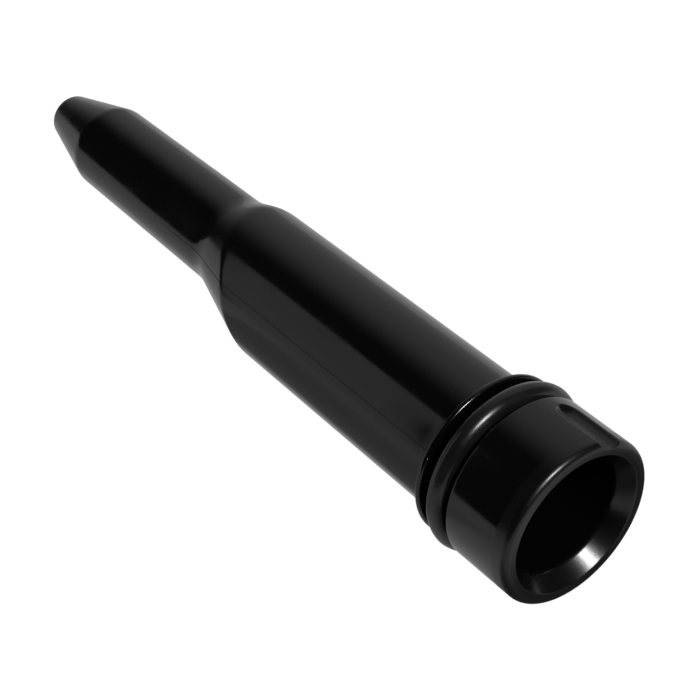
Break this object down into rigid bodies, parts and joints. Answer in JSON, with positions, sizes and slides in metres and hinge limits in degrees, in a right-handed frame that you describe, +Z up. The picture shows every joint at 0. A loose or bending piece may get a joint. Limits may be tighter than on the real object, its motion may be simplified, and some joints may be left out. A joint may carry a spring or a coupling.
{
  "type": "blower nozzle",
  "caption": "Hollow blower nozzle lying on its side: keyed, countersunk spigot with a rubber sealing ring, plain tube, off-centre shoulder, slim neck and tapered tip that aims the air.",
  "frame": {"origin": "middle of the bounding box at ground level, under the nozzle as it lies on its side with its axis level", "axes": "+X along the nozzle's axis, out of the mouth that the blower plugs into; -X out of the tip; +Z up; the keyway leans 25 degrees from +Z towards +Y"},
  "size_m": [0.1636, 0.0338, 0.0339],
  "materials": {
    "nozzle": "glossy black injection moulding",
    "o_ring": "smooth black nitrile rubber"
  },
  "bodies": {
    "root": {"nozzle": "nozzle", "o_ring": "o_ring"}
  },
  "joints": []
}
